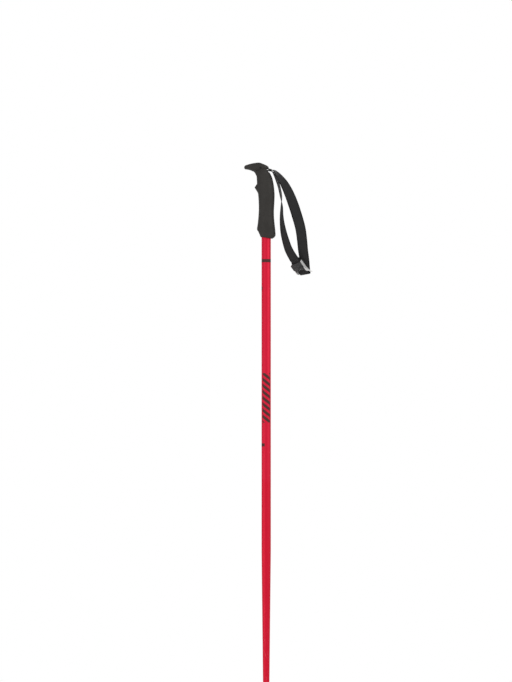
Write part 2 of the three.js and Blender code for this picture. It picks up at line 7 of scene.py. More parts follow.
import bmesh
import bpy
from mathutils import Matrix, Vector


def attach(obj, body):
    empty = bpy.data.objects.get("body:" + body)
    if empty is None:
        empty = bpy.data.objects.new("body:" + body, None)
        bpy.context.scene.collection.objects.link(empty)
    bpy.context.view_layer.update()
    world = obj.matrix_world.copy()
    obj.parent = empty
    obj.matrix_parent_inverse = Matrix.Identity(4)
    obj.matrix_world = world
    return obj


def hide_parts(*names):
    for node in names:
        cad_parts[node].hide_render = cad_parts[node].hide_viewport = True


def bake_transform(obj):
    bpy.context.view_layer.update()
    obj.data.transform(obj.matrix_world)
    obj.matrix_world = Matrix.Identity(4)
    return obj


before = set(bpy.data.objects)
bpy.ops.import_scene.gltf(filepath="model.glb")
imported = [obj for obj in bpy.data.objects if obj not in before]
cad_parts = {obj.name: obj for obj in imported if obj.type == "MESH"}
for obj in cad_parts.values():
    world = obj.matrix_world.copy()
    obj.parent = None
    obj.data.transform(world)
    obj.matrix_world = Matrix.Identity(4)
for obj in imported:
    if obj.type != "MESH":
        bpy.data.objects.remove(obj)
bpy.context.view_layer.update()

MM = 0.001

# ---- Dimensions shared with the CAD model ----
POLE_LENGTH = 1200
TOUCH_GAP = 0.3
SHAFT_RADIUS = 9
SHAFT_END_RADIUS = 5.5
SHAFT_WALL = 1.2
SHAFT_TOP = POLE_LENGTH - 34
SHAFT_BOTTOM = 92
TAPER_TOP = 450
TAPER_BOTTOM = 130

GRIP_LENGTH = 145
PIN_RADIUS = 1.5
PIN_LENGTH = 29
PIN_X = -11
PIN_Z = POLE_LENGTH - 11

WEBBING_WIDTH = 20
WEBBING_THICKNESS = 1.5
LAYER_OFFSET = (WEBBING_THICKNESS + TOUCH_GAP) / 2
STRAP_PIVOT = Vector((7.2, 0, POLE_LENGTH - 13.7))
STRAP_START = 2.6
STRAP_DIP = math.radians(20)

BUCKLE_WIDTH = 23.6
BUCKLE_TOP = -13.3
BUCKLE_BOTTOM = 12.3
EAR_TIP = (18.5, 17)     # along and across: the point of the ear beside the fold
BUCKLE_SHEET = 1
CHEEK_HEIGHT = 8
CAM_PIN_RADIUS = 1.2
CAM_PIN_ALONG = 2
CAM_PIN_FRONT = 6
CAM_PIN_MIDDLE = (CAM_PIN_ALONG, CAM_PIN_FRONT)
CAM_RADIUS = 2.9
LEVER_WIDTH = 20.4
PLATE_WIDTH = 24
FOLD_ANGLE = math.radians(28)
FOLD_ALONG = 16

FERRULE_BOTTOM = 12.3
FERRULE_TOP = 130
POINT_SHANK_TOP = 34
POINT_SHANK_RADIUS = 2.5
HUB_SEAT_RADIUS = 5.8
BASKET_BOTTOM = 66.3
BASKET_TOP = 81
BASKET_RADIUS = 30
SPOKES = 6
SPOKE_WIDTH = 4.5

# ---- Marks printed on the shaft, by height and by half width round the tube ----
RING_SPAN = (1007.6, 1013.8)
DIAMOND_SPAN = (949, 966)
DIAMOND_MIDDLE = 957.5
DIAMOND_HALF_HEIGHT = 8.5
DIAMOND_HALF_WIDTH = 6.8
STRIPES_SPAN = (698.5, 794)
STRIPES_HALF_WIDTH = 8.5
STRIPE_PITCH = 11.9
STRIPE_SHARE = 0.56      # of each pitch that is printed
STRIPE_SLANT = 0.75
BAR_SPAN = (652.5, 658.5)
BAR_HALF_WIDTH = 11.2


# ---- Materials ----
class Look:
    """A Principled node material, with short calls that add nodes to it."""

    def __init__(self, name, numbers):
        self.material = bpy.data.materials.new(name)
        self.material.use_nodes = True
        self.nodes = self.material.node_tree.nodes
        self.links = self.material.node_tree.links
        self.shader = self.nodes["Principled BSDF"]
        self.coordinates = None
        for socket, value in numbers.items():
            self.shader.inputs[socket].default_value = value

    def put(self, kind, inputs=None, **settings):
        node = self.nodes.new(kind)
        for setting, value in settings.items():
            setattr(node, setting, value)
        for socket, value in (inputs or {}).items():
            if isinstance(value, bpy.types.NodeSocket):
                self.links.new(value, node.inputs[socket])
            else:
                node.inputs[socket].default_value = value
        return node

    def drive(self, socket, value):
        self.links.new(value, self.shader.inputs[socket])

    def math(self, operation, first, second=0.0):
        return self.put("ShaderNodeMath", {0: first, 1: second}, operation=operation).outputs[0]

    def times(self, first, second):
        return self.math("MULTIPLY", first, second)

    def place(self):
        """The object coordinates, in metres."""
        if self.coordinates is None:
            self.coordinates = self.put("ShaderNodeTexCoord").outputs["Object"]
        return self.coordinates

    def axes(self, vector):
        split = self.put("ShaderNodeSeparateXYZ", {0: vector})
        return split.outputs["X"], split.outputs["Y"], split.outputs["Z"]

    def noise(self, grain, detail=2.0, stretch=(1, 1, 1)):
        """Noise with features of about grain millimetres, longer along an axis whose stretch is below 1."""
        vector = self.put("ShaderNodeMapping", {"Vector": self.place(), "Scale": stretch}).outputs[0]
        size = 1 / (grain * MM)
        node = self.put("ShaderNodeTexNoise", {"Vector": vector, "Scale": size, "Detail": detail})
        return node.outputs["Fac"]

    def cells(self, grain):
        size = 1 / (grain * MM)
        node = self.put("ShaderNodeTexVoronoi", {"Vector": self.place(), "Scale": size})
        return node.outputs["Distance"]

    def remap(self, value, low, high, new_low=0.0, new_high=1.0):
        inputs = {"Value": value, 1: low, 2: high, 3: new_low, 4: new_high}
        return self.put("ShaderNodeMapRange", inputs, clamp=True).outputs[0]

    def blend(self, factor, first, second):
        """The first colour where factor is 0 and the second where it is 1."""
        node = self.put("ShaderNodeMix", {0: factor}, data_type="RGBA")
        for index, colour in ((6, first), (7, second)):
            if isinstance(colour, bpy.types.NodeSocket):
                self.links.new(colour, node.inputs[index])
            else:
                node.inputs[index].default_value = (*colour, 1)
        return node.outputs[2]

    def within(self, value, low, high):
        """1 where a value in metres lies between low and high in millimetres."""
        above = self.math("GREATER_THAN", value, low * MM)
        return self.times(above, self.math("LESS_THAN", value, high * MM))

    def relief(self, *layers):
        """Bumps of (height, depth in millimetres), one over the other, on the shader's normal."""
        normal = None
        for height, depth in layers:
            inputs = {"Height": height, "Distance": depth * MM, "Strength": 1.0}
            if normal is not None:
                inputs["Normal"] = normal
            normal = self.put("ShaderNodeBump", inputs).outputs[0]
        self.drive("Normal", normal)


def grip_rubber():
    look = Look("grip_rubber", {"Specular IOR Level": 0.2})
    mottle = look.noise(9, 3)
    colour = look.blend(mottle, (0.0225, 0.0205, 0.0185), (0.032, 0.0295, 0.0265))
    polish = look.remap(look.noise(22, 2), 0.45, 0.7)
    colour = look.blend(look.times(polish, 0.5), colour, (0.038, 0.0355, 0.032))
    look.drive("Base Color", colour)
    look.drive("Roughness", look.remap(look.noise(3, 3), 0.3, 0.7, 0.52, 0.7))
    _, y, _ = look.axes(look.place())
    seam = look.remap(look.math("ABSOLUTE", y), 0.0, 0.00022, 1.0, 0.0)
    look.relief((look.cells(0.8), 0.14), (look.noise(0.3, 2), 0.04), (seam, 0.12))
    return look.material


def shaft_paint():
    """Satin red paint over metal with plain dark print: a ring, a diamond, slanted stripes and a bar."""
    look = Look("shaft_paint", {"Metallic": 0.25, "Specular IOR Level": 0.15})
    x, y, z = look.axes(look.place())
    radius = SHAFT_RADIUS * MM
    from_front = look.math("ARCTAN2", y, look.times(x, -1.0))
    from_side = look.math("ARCTAN2", x, look.math("ABSOLUTE", y))
    round_front = look.times(look.math("ABSOLUTE", from_front), radius)
    round_side = look.times(from_side, radius)

    ring = look.within(z, *RING_SPAN)
    from_middle = look.math("ABSOLUTE", look.math("SUBTRACT", z, DIAMOND_MIDDLE * MM))
    diamond_half = look.remap(from_middle, 0, DIAMOND_HALF_HEIGHT * MM, DIAMOND_HALF_WIDTH * MM, 0)
    diamond = look.math("LESS_THAN", round_front, diamond_half)
    diamond = look.times(diamond, look.within(z, *DIAMOND_SPAN))
    slant = look.math("ADD", z, look.times(round_side, STRIPE_SLANT))
    in_pitch = look.math("FRACT", look.math("DIVIDE", slant, STRIPE_PITCH * MM))
    stripe = look.math("LESS_THAN", in_pitch, STRIPE_SHARE)
    side_band = look.within(round_side, -STRIPES_HALF_WIDTH, STRIPES_HALF_WIDTH)
    block = look.times(look.within(z, *STRIPES_SPAN), side_band)
    stripes = look.times(stripe, block)
    front_band = look.math("LESS_THAN", round_front, BAR_HALF_WIDTH * MM)
    bar = look.times(look.within(z, *BAR_SPAN), front_band)
    print_mask = ring
    for mark in (diamond, stripes, bar):
        print_mask = look.math("MAXIMUM", print_mask, mark)
    worn = look.remap(look.noise(1.6, 4), 0.2, 0.36, 0.8, 1.0)
    print_mask = look.times(print_mask, worn)

    lower = look.remap(z, 0.592, 0.58)
    paint = look.blend(lower, (0.61, 0.0085, 0.036), (0.6, 0.005, 0.027))
    drift = look.remap(look.noise(30, 3, (1, 1, 0.2)), 0.3, 0.7, 0.0, 0.08)
    paint = look.blend(drift, paint, (0.42, 0.008, 0.034))
    paint = look.blend(print_mask, paint, (0.075, 0.028, 0.026))
    scratch_line = look.remap(look.noise(0.5, 3, (1, 1, 0.035)), 0.66, 0.7)
    low_down = look.remap(z, 0.35, 0.15)
    scratch = look.times(look.times(scratch_line, low_down), 0.8)
    paint = look.blend(scratch, paint, (0.55, 0.5, 0.49))
    look.drive("Base Color", paint)

    flake = look.noise(0.16, 1)
    rough = look.remap(look.noise(4, 4, (1, 1, 0.15)), 0.3, 0.7, 0.42, 0.52)
    look.drive("Roughness", look.math("ADD", rough, look.times(print_mask, 0.15)))
    look.relief((flake, 0.006), (print_mask, 0.02), (scratch_line, 0.01))
    return look.material


def moulded_plastic(name, dark, light, rough=(0.42, 0.6), scuffs=0.3):
    look = Look(name, {"Specular IOR Level": 0.4})
    colour = look.blend(look.noise(6, 3), dark, light)
    scuff_line = look.remap(look.noise(0.6, 4, (1, 0.08, 1)), 0.62, 0.72)
    where = look.remap(look.noise(14, 2), 0.45, 0.65)
    scuff = look.times(look.times(scuff_line, where), scuffs)
    look.drive("Base Color", look.blend(scuff, colour, (0.16, 0.155, 0.15)))
    look.drive("Roughness", look.remap(look.noise(2, 3), 0.3, 0.7, *rough))
    look.relief((look.noise(0.35, 3), 0.035), (look.cells(0.9), 0.02), (scuff_line, 0.01))
    return look.material


def webbing_weave():
    """Woven polyester: ribs along the length, crossed by the weft, with a dense dark band at each edge, and
    painted shade darkening the valleys between the yarns.
    """
    numbers = {"Specular IOR Level": 0.15, "Sheen Weight": 0.08, "Sheen Roughness": 0.5}
    look = Look("webbing_weave", numbers)
    uv = look.put("ShaderNodeUVMap", uv_map="weave").outputs[0]
    across, along, _ = look.axes(uv)
    rib_pitch = 0.9 * MM
    weft_pitch = 1.15 * MM
    edge_start, edge_end = 2.1, 2.5
    column = look.math("FLOOR", look.math("DIVIDE", across, rib_pitch))
    rib_turn = look.times(look.math("DIVIDE", across, rib_pitch), math.pi)
    rib = look.math("POWER", look.math("ABSOLUTE", look.math("SINE", rib_turn)), 0.6)
    shift = look.times(column, 0.5)
    weft_turn = look.math("ADD", look.math("DIVIDE", along, weft_pitch), shift)
    weft = look.math("COSINE", look.times(weft_turn, 2 * math.pi))
    yarn = look.times(rib, look.remap(weft, -1, 1, 0.45, 1.0))

    edge_distance = look.math("SUBTRACT", WEBBING_WIDTH / 2 * MM, look.math("ABSOLUTE", across))
    edge = look.remap(edge_distance, edge_start * MM, edge_end * MM, 1.0, 0.0)
    groove = look.within(edge_distance, edge_start, edge_end)
    pile = look.times(look.noise(0.25, 2), 0.35)
    height = look.math("ADD", look.math("SUBTRACT", yarn, look.times(groove, 0.8)), pile)

    body = look.blend(look.noise(14, 3), (0.021, 0.021, 0.0215), (0.030, 0.030, 0.0305))
    colour = look.blend(edge, body, (0.0115, 0.0115, 0.012))
    # Painted shade: where the yarn is low, in the valleys of the weave, the colour is darkened towards
    # black.
    painted_gap_shade = look.remap(yarn, 0.15, 0.75, 0.6, 0.0)
    colour = look.blend(painted_gap_shade, colour, (0.005, 0.005, 0.005))
    look.drive("Base Color", colour)
    look.drive("Roughness", look.remap(look.noise(5, 2), 0.3, 0.7, 0.72, 0.9))
    look.relief((height, 0.13))
    return look.material


def thread():
    look = Look("stitch_thread", {"Roughness": 0.6, "Sheen Weight": 0.2})
    colour = look.blend(look.noise(0.4, 2), (0.03, 0.03, 0.031), (0.055, 0.055, 0.056))
    look.drive("Base Color", colour)
    look.relief((look.noise(0.18, 2, (1, 1, 0.3)), 0.04))
    return look.material


def brushed_metal(name, dark, light, rough, grain, stretch=(1, 1, 1), metallic=1.0):
    look = Look(name, {"Metallic": metallic})
    look.drive("Base Color", look.blend(look.noise(5, 4), dark, light))
    lines = look.noise(grain, 3, stretch)
    look.drive("Roughness", look.remap(lines, 0.3, 0.7, *rough))
    look.relief((lines, 0.012), (look.noise(1.5, 3), 0.01))
    return look.material


GRIP_RUBBER = grip_rubber()
SHAFT_PAINT = shaft_paint()
FERRULE_PLASTIC = moulded_plastic("ferrule_plastic", (0.022, 0.022, 0.022), (0.032, 0.032, 0.031))
BASKET_PLASTIC = moulded_plastic("basket_plastic", (0.019, 0.019, 0.02), (0.03, 0.03, 0.03), scuffs=0.5)
LEVER_PLASTIC = moulded_plastic(
    "lever_plastic", (0.027, 0.027, 0.0275), (0.046, 0.046, 0.046), (0.34, 0.5), 0.2,
)
WEBBING = webbing_weave()
THREAD = thread()
NICKEL = brushed_metal(
    "nickel_plate", (0.66, 0.66, 0.65), (0.79, 0.79, 0.78), (0.32, 0.44), 0.3, (1, 1, 0.2), metallic=0.45,
)
TURNED_STEEL = brushed_metal(
    "turned_steel", (0.4, 0.4, 0.41), (0.55, 0.55, 0.55), (0.25, 0.42), 0.25, (0.1, 0.1, 1),
)
DARK_STEEL = brushed_metal("dark_steel", (0.05, 0.05, 0.05), (0.09, 0.09, 0.088), (0.4, 0.55), 0.25)
SPRING_STEEL = brushed_metal("spring_steel", (0.06, 0.06, 0.06), (0.1, 0.1, 0.1), (0.3, 0.45), 0.2)


# ---- Mesh helpers ----
def add_object(name, data):
    made = bpy.data.objects.new(name, data)
    bpy.context.scene.collection.objects.link(made)
    return made


def face_outward(mesh, weld=False):
    """Turns the faces outward, and first welds points that lie on one another if weld is set."""
    grid = bmesh.new()
    grid.from_mesh(mesh)
    if weld:
        bmesh.ops.remove_doubles(grid, verts=grid.verts, dist=1e-7)
    bmesh.ops.recalc_face_normals(grid, faces=grid.faces)
    grid.to_mesh(mesh)
    grid.free()


def make_piece(name, points, faces, material):
    """An object from points in millimetres."""
    mesh = bpy.data.meshes.new(name)
    mesh.from_pydata([tuple(Vector(point) * MM) for point in points], [], faces)
    face_outward(mesh, weld=True)
    piece = add_object(name, mesh)
    mesh.materials.append(material)
    finish_shading(piece)
    return piece


def finish_shading(piece, sharp_angle=35):
    """Smooth shading, except over edges that turn by more than sharp_angle degrees."""
    mesh = piece.data
    mesh.shade_smooth()
    mesh.set_sharp_from_angle(angle=math.radians(sharp_angle))


def apply_modifiers(piece):
    """Turns what the modifiers make into the piece's own mesh."""
    depsgraph = bpy.context.evaluated_depsgraph_get()
    made = bpy.data.meshes.new_from_object(piece.evaluated_get(depsgraph))
    piece.modifiers.clear()
    old = piece.data
    made.name = old.name
    piece.data = made
    bpy.data.meshes.remove(old)


def combine(piece, operation, *tools):
    for tool in tools:
        modifier = piece.modifiers.new("combine", "BOOLEAN")
        modifier.operation = operation
        modifier.solver = "EXACT"
        modifier.object = tool
        apply_modifiers(piece)
        bpy.data.objects.remove(tool)
    return piece


def soften(piece, width):
    """Bevels the edges. The modifier's overlap clamp holds the width back to what the shortest edges allow,
    and on the basket, the buckle and the lever that leaves the edges almost sharp."""
    modifier = piece.modifiers.new("soften", "BEVEL")
    modifier.width = width * MM
    modifier.segments = 2
    modifier.limit_method = "ANGLE"
    modifier.angle_limit = math.radians(35)
    weighted = piece.modifiers.new("weighted", "WEIGHTED_NORMAL")
    weighted.keep_sharp = True
    finish_shading(piece, 180)
    apply_modifiers(piece)


def smooth_line(pairs):
    """A smooth line through (position, value) pairs, read at any position."""
    last = len(pairs) - 1

    def slope(index):
        before = pairs[max(index - 1, 0)]
        after = pairs[min(index + 1, last)]
        return (after[1] - before[1]) / (after[0] - before[0])

    slopes = [slope(index) for index in range(last + 1)]

    def read(position):
        index = 0
        while index < last - 1 and position > pairs[index + 1][0]:
            index += 1
        start, start_value = pairs[index]
        end, end_value = pairs[index + 1]
        span = end - start
        t = min(max((position - start) / span, 0), 1)
        ease = t * t * (3 - 2 * t)
        bend = t * (1 - t) * span * ((1 - t) * slopes[index] - t * slopes[index + 1])
        return start_value + (end_value - start_value) * ease + bend

    return read


def smoothstep(value, low, high):
    t = min(max((value - low) / (high - low), 0), 1)
    return t * t * (3 - 2 * t)


def rounded_box(angle, squareness):
    """A point on a rounded-box outline: 2 gives an ellipse and larger numbers give squarer corners."""
    power = 2 / squareness
    cos, sin = math.cos(angle), math.sin(angle)
    return math.copysign(abs(cos) ** power, cos), math.copysign(abs(sin) ** power, sin)


def tube_faces(rings, count, first=0):
    """The faces of a skin over rings of count points each, capped at both ends, from point first on."""
    faces = []
    for row in range(rings - 1):
        for step in range(count):
            here = first + row * count + step
            beside = first + row * count + (step + 1) % count
            faces.append((here, beside, beside + count, here + count))
    last = first + (rings - 1) * count
    faces.append(tuple(range(first, first + count)))
    faces.append(tuple(range(last, last + count)))
    return faces


def loft(name, rings, material):
    """A closed skin over rings of equal length, with a flat cap on each end."""
    points = [point for ring in rings for point in ring]
    return make_piece(name, points, tube_faces(len(rings), len(rings[0])), material)


def round_corners(outline, radius, steps=4, closed=True):
    """The outline with each corner replaced by a short curve that starts radius before it."""
    rounded = []
    count = len(outline)
    for index, corner in enumerate(outline):
        corner = Vector(corner)
        if not closed and index in (0, count - 1):
            rounded.append(corner)
            continue
        to_before = Vector(outline[index - 1]) - corner
        to_after = Vector(outline[(index + 1) % count]) - corner
        reach = min(radius, 0.45 * to_before.length, 0.45 * to_after.length)
        start = corner + to_before.normalized() * reach
        end = corner + to_after.normalized() * reach
        for step in range(steps + 1):
            t = step / steps
            rounded.append(start * (1 - t) ** 2 + corner * 2 * t * (1 - t) + end * t * t)
    return rounded


def arc(centre, radius, start, end, steps):
    """Points on an arc, with angles in degrees."""
    angles = [math.radians(start + (end - start) * step / steps) for step in range(steps + 1)]
    return [(centre[0] + radius * math.cos(a), centre[1] + radius * math.sin(a)) for a in angles]


def upright(x, y, z):
    return x, y, z


def lathe(name, profile, material, segments=96, corner=0.3, closed=False, place=upright):
    """Turns (radius, height) pairs about Z, each point then placed by place(x, y, height)."""
    line = round_corners(profile, corner, 3, closed)
    count = len(line)
    points = []
    for step in range(segments):
        angle = 2 * math.pi * step / segments
        for radius, height in line:
            points.append(place(radius * math.cos(angle), radius * math.sin(angle), height))
    faces = []
    for step in range(segments):
        here = step * count
        there = (step + 1) % segments * count
        for index in range(count if closed else count - 1):
            after = (index + 1) % count
            faces.append((here + index, there + index, there + after, here + after))
    return make_piece(name, points, faces, material)


def prism(name, outline, low, high, place, material):
    """An outline of (u, v) points, extruded from low to high, each corner placed by place(u, v, w)."""
    count = len(outline)
    points = [place(u, v, w) for w in (low, high) for u, v in outline]
    faces = [tuple(range(count)), tuple(range(count, 2 * count))]
    for step in range(count):
        after = (step + 1) % count
        faces.append((step, after, after + count, step + count))
    return make_piece(name, points, faces, material)


# ---- Grip ----
# The handle's outlines are written against the drop below the grip's top, and the head's against x.
grip_front = smooth_line([
    (7, -24), (13, -26), (15.6, -26), (16.9, -24.5), (18.7, -22.6), (22, -20.6), (26, -18.8), (34, -18.1),
    (50, -17.2), (63, -15.4), (86, -14.3), (106, -15.2), (120, -16.6), (130, -17.8), (135, -14.9),
    (GRIP_LENGTH, -10.8),
])
grip_back = smooth_line([
    (7, 4.4), (17, 5.2), (20, 7.2), (25, 10), (31, 12.2), (42, 14.4), (54, 15.9), (65, 16.3), (78, 15.8),
    (92, 15), (106, 15.2), (123, 16.9), (134, 18), (140, 17.6), (GRIP_LENGTH, 12.4),
])
grip_width = smooth_line([
    (7, 34), (12, 32), (17, 28), (23, 26.5), (34, 28.4), (46, 29.7), (60, 30.4), (86, 29), (100, 28),
    (121, 30), (133, 31.7), (139, 29.9), (GRIP_LENGTH, 25),
])
foot_slant = smooth_line([(110, 0), (130, 0.06), (GRIP_LENGTH, 0.13)])
head_top = smooth_line([
    (-42.7, 8.8), (-41.5, 6.3), (-38, 4.7), (-28, 1.8), (-20.5, 0.5), (-15.5, 0), (-11, 0.5), (2, 6.2),
    (5, 9.2),
])
head_underside = smooth_line([
    (-42.7, 9.6), (-41.5, 12), (-36, 12.8), (-30, 14.4), (-25, 16.6), (-18, 17.5), (-8, 15), (2, 12),
    (5, 10.6),
])
head_half_width = smooth_line([
    (-42.7, 9), (-41.5, 14.5), (-37, 18.6), (-28, 20), (-16, 19.6), (-4, 17), (2, 14), (5, 10.5),
])


def grip_handle():
    rows, around, top, squareness = 110, 72, 7, 2.4
    rings = []
    for row in range(rows + 1):
        drop = top + (GRIP_LENGTH - top) * row / rows
        half_depth = (grip_back(drop) - grip_front(drop)) / 2
        ring = []
        for step in range(around):
            across, along = rounded_box(2 * math.pi * step / around, squareness)
            x = grip_back(drop) - half_depth + half_depth * across
            z = POLE_LENGTH - drop - max(foot_slant(drop), 0) * x
            ring.append((x, along * grip_width(drop) / 2, z))
        rings.append(ring)
    return loft("grip_body", rings, GRIP_RUBBER)


def grip_head():
    rows, around, nose, lip, squareness = 60, 64, -42.7, 5, 3.2
    rings = []
    for row in range(rows + 1):
        x = nose + (lip - nose) * row / rows
        middle = (head_top(x) + head_underside(x)) / 2
        half_height = (head_underside(x) - head_top(x)) / 2
        ring = []
        for step in range(around):
            across, up = rounded_box(2 * math.pi * step / around, squareness)
            ring.append((x, across * head_half_width(x), POLE_LENGTH - middle + up * half_height))
        rings.append(ring)
    return loft("grip_head", rings, GRIP_RUBBER)


def grip_spur():
    """The finger rest: a beak with a pointed upper edge that fades out to both sides."""
    root, peak, edge_rise = -12, 48, 2.2
    outline = [(root, 40), (-18, 41), (-19.4, 43), (-22.8, 47.8), (-19.6, 52.4), (-16.5, 58), (root, 58)]
    half, rows = 6.5, 16
    rings = []
    for row in range(rows + 1):
        y = half * (2 * row / rows - 1)
        fade = (abs(y) / half) ** 1.8
        ring = []
        for x, drop in outline:
            out = min(x - root, 0) * (1 - 0.55 * fade)
            rise = edge_rise * fade if drop < peak else 0
            ring.append((root + out, y, POLE_LENGTH - drop + rise))
        rings.append(ring)
    return loft("grip_spur", rings, GRIP_RUBBER)


def from_side(x, z, y):
    return x, y, z


def along_strap_pin(x, y, height):
    return PIN_X + x, height, PIN_Z + y


def strap_pocket():
    """A cutter for the slot that the strap runs into, round the pin and out at the back."""
    bight = 3.9
    outline = arc((PIN_X, PIN_Z), bight, 90, 270, 16)
    for x, drop in ((0, 15.2), (5, 18.2), (12, 18.2), (12, 10.7), (5, 10.7)):
        outline.append((x, POLE_LENGTH - drop))
    half = WEBBING_WIDTH / 2 + 0.8
    return prism("pocket", outline, -half, half, from_side, GRIP_RUBBER)


def shaft_bore():
    radius = SHAFT_RADIUS + TOUCH_GAP
    top = SHAFT_TOP + 4
    profile = [(0, top - GRIP_LENGTH), (radius, top - GRIP_LENGTH), (radius, top), (0, top)]
    return lathe("bore", profile, GRIP_RUBBER, corner=0)


def pin_hole():
    radius = PIN_RADIUS + TOUCH_GAP
    half = 30
    profile = [(0, -half), (radius, -half), (radius, half), (0, half)]
    return lathe("pin_hole", profile, GRIP_RUBBER, 32, 0, place=along_strap_pin)


def build_grip():
    grip = combine(grip_handle(), "UNION", grip_head(), grip_spur())
    combine(grip, "DIFFERENCE", strap_pocket(), shaft_bore(), pin_hole())
    remesh = grip.modifiers.new("skin", "REMESH")
    remesh.mode = "VOXEL"
    remesh.voxel_size = 0.65 * MM
    settle = grip.modifiers.new("settle", "SMOOTH")
    settle.factor = 0.5
    settle.iterations = 12
    apply_modifiers(grip)
    if not grip.data.materials:
        grip.data.materials.append(GRIP_RUBBER)
    finish_shading(grip, 80)
    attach(grip, "pole")
    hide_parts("grip")


def build_strap_pin():
    half = PIN_LENGTH / 2
    dimple_radius, dimple_depth = 0.7, 0.2
    profile = [
        (0, -half + dimple_depth), (dimple_radius, -half), (PIN_RADIUS, -half),
        (PIN_RADIUS, half), (dimple_radius, half), (0, half - dimple_depth),
    ]
    pin = lathe("strap_pin_rod", profile, DARK_STEEL, 48, 0.25, place=along_strap_pin)
    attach(pin, "pole")
    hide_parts("strap_pin")


# ---- Shaft, ferrule and point ----
def build_shaft():
    low = SHAFT_BOTTOM + TOUCH_GAP
    profile = [
        (SHAFT_END_RADIUS, low), (SHAFT_END_RADIUS, TAPER_BOTTOM),
        (SHAFT_RADIUS, TAPER_TOP), (SHAFT_RADIUS, SHAFT_TOP),
        (SHAFT_RADIUS - SHAFT_WALL, SHAFT_TOP), (SHAFT_RADIUS - SHAFT_WALL, TAPER_TOP),
        (SHAFT_END_RADIUS - SHAFT_WALL, TAPER_BOTTOM), (SHAFT_END_RADIUS - SHAFT_WALL, low),
    ]
    shaft = lathe("shaft_tube", profile, SHAFT_PAINT, 96, 0.4, closed=True)
    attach(shaft, "pole")
    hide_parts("shaft")


def build_ferrule():
    """The plastic end of the shaft, with ribs to grip it by above the basket's seat."""
    socket_radius = SHAFT_END_RADIUS + TOUCH_GAP
    hole_radius = POINT_SHANK_RADIUS + TOUCH_GAP
    hole_top = POINT_SHANK_TOP + TOUCH_GAP
    ridge, collar, rib_radius, groove = 6.4, 8.1, 7.2, 6.9
    collar_bottom = BASKET_TOP + 2.2
    profile = [
        (0, hole_top), (hole_radius, hole_top), (hole_radius, FERRULE_BOTTOM),
        (4.1, FERRULE_BOTTOM), (4.4, FERRULE_BOTTOM + 2), (5.6, BASKET_BOTTOM - 5),
        (ridge, BASKET_BOTTOM - 2), (ridge, BASKET_BOTTOM - 1),
        (HUB_SEAT_RADIUS, BASKET_BOTTOM), (HUB_SEAT_RADIUS, collar_bottom),
        (collar, collar_bottom), (collar, BASKET_TOP + 5), (7.3, BASKET_TOP + 8),
    ]
    for rib in range(5):
        start = BASKET_TOP + 12 + 5 * rib
        profile += [(rib_radius, start), (groove, start + 0.5)]
        profile += [(groove, start + 1.5), (rib_radius, start + 2)]
    profile += [
        (7, FERRULE_TOP - 2), (6.6, FERRULE_TOP),
        (socket_radius, FERRULE_TOP), (socket_radius, SHAFT_BOTTOM), (0, SHAFT_BOTTOM),
    ]
    ferrule = lathe("ferrule_body", profile, FERRULE_PLASTIC, 72, 0.3)
    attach(ferrule, "pole")
    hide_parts("tip_ferrule")


def build_point():
    top = FERRULE_BOTTOM - TOUCH_GAP
    radius, groove, hollow = 3.7, 3.45, 0.5
    profile = [
        (0, hollow), (1.2, hollow), (1.9, 0), (2.9, 0),
        (radius, 1.2), (radius, 4), (groove, 4.4), (groove, 5), (radius, 5.4), (radius, top),
        (POINT_SHANK_RADIUS, top), (POINT_SHANK_RADIUS, POINT_SHANK_TOP - 1),
        (POINT_SHANK_RADIUS - 0.8, POINT_SHANK_TOP), (0, POINT_SHANK_TOP),
    ]
    point = lathe("point_body", profile, TURNED_STEEL, 64, 0.25)
    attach(point, "pole")
    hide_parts("tip_insert")


# ---- Basket ----
def basket_opening(index):
    """One opening between two spokes, with rounded corners."""
    inner, outer, corner = 12.5, 24, 1.1
    step = 360 / SPOKES
    start = index * step
    inner_trim = math.degrees(math.asin(SPOKE_WIDTH / 2 / inner))
    outer_trim = math.degrees(math.asin(SPOKE_WIDTH / 2 / outer))
    outside = arc((0, 0), outer, start + outer_trim, start + step - outer_trim, 14)
    inside = arc((0, 0), inner, start + step - inner_trim, start + inner_trim, 8)
    corners = {0, len(outside) - 1, len(outside), len(outside) + len(inside) - 1}
    outline = []
    ring = [Vector(point) for point in outside + inside]
    for position, point in enumerate(ring):
        if position not in corners:
            outline.append(point)
            continue
        before = point + (ring[position - 1] - point).normalized() * corner
        after = point + (ring[(position + 1) % len(ring)] - point).normalized() * corner
        outline += [before, before * 0.25 + point * 0.5 + after * 0.25, after]
    return prism("opening", outline, BASKET_BOTTOM - 2, BASKET_TOP, upright, BASKET_PLASTIC)


def build_basket():
    bore = HUB_SEAT_RADIUS + TOUCH_GAP
    profile = [
        (bore, BASKET_BOTTOM), (8.2, BASKET_BOTTOM), (9, 70.5), (12, 71.3), (25, 69.2), (26.5, 67.6),
        (29, 67.6), (BASKET_RADIUS, 68.8), (BASKET_RADIUS, 71), (28.4, 72.2), (25, 71.6), (12, 74),
        (9.4, 76), (8.4, BASKET_TOP), (bore, BASKET_TOP),
    ]
    basket = lathe("basket_body", profile, BASKET_PLASTIC, 120, 0.6, closed=True)
    openings = [basket_opening(index) for index in range(SPOKES)]
    combine(basket, "DIFFERENCE", *openings)
    soften(basket, 0.35)
    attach(basket, "snow_basket")
    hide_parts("basket")


def build_washer():
    bore = HUB_SEAT_RADIUS + TOUCH_GAP
    radius, low, high = 8, BASKET_TOP + TOUCH_GAP, BASKET_TOP + 1.8
    profile = [(bore, low), (radius, low), (radius, high), (bore, high)]
    washer = lathe("washer_ring", profile, TURNED_STEEL, 72, 0.3, closed=True)
    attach(washer, "pole")
    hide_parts("basket_washer")


# ---- Wrist strap ----
# The buckle lies in its own frame: along its length away from the grip, across it, and out of its front.
buckle_place = Vector((66.4, 3.4, 998.7))
buckle_along = Vector((0.56, 0.3, -0.77)).normalized()
buckle_front = buckle_along.cross(Vector((0.762, -0.551, 0.34))).normalized()
buckle_across = buckle_front.cross(buckle_along)


